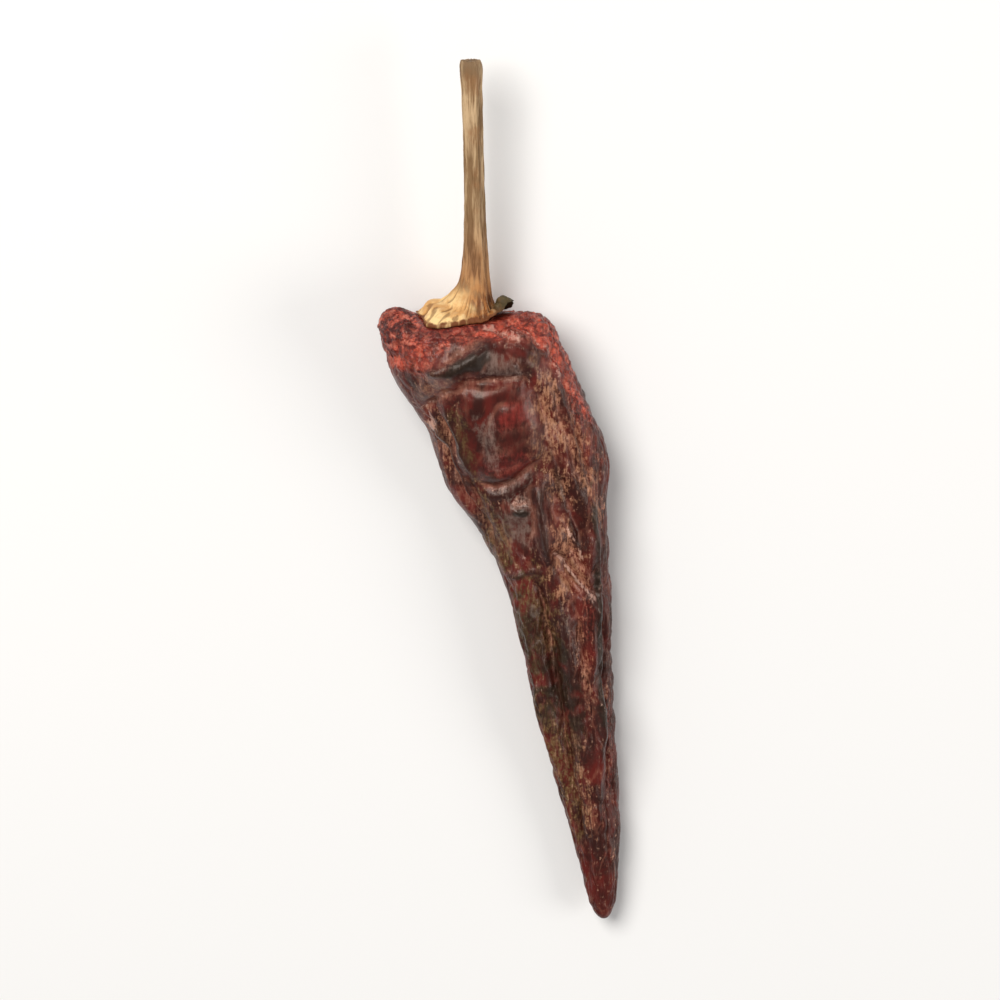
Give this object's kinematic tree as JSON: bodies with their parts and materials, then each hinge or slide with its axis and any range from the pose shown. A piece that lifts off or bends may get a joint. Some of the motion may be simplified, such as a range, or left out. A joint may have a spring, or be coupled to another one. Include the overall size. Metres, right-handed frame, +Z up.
{
  "type": "dried chilli pepper",
  "caption": "Shrivelled dried red chilli lying on its back: a flattened, deeply folded leathery pod that tapers to a tip, with a toothed papery calyx and a straight woody stalk.",
  "frame": {"origin": "middle of the lying chilli's outline as seen from above, on the ground under it", "axes": "+Y from the pod's tip towards the stalk's cut end, +Z up through the folded face, +X towards the side to which the pod's tip leans"},
  "size_m": [0.044, 0.16, 0.0243],
  "materials": {
    "dried_skin": "wrinkled, waxy satin",
    "dry_stalk": "dry, ribbed, matte"
  },
  "bodies": {
    "root": {"pod": "dried_skin", "stalk": "dry_stalk"}
  },
  "joints": []
}
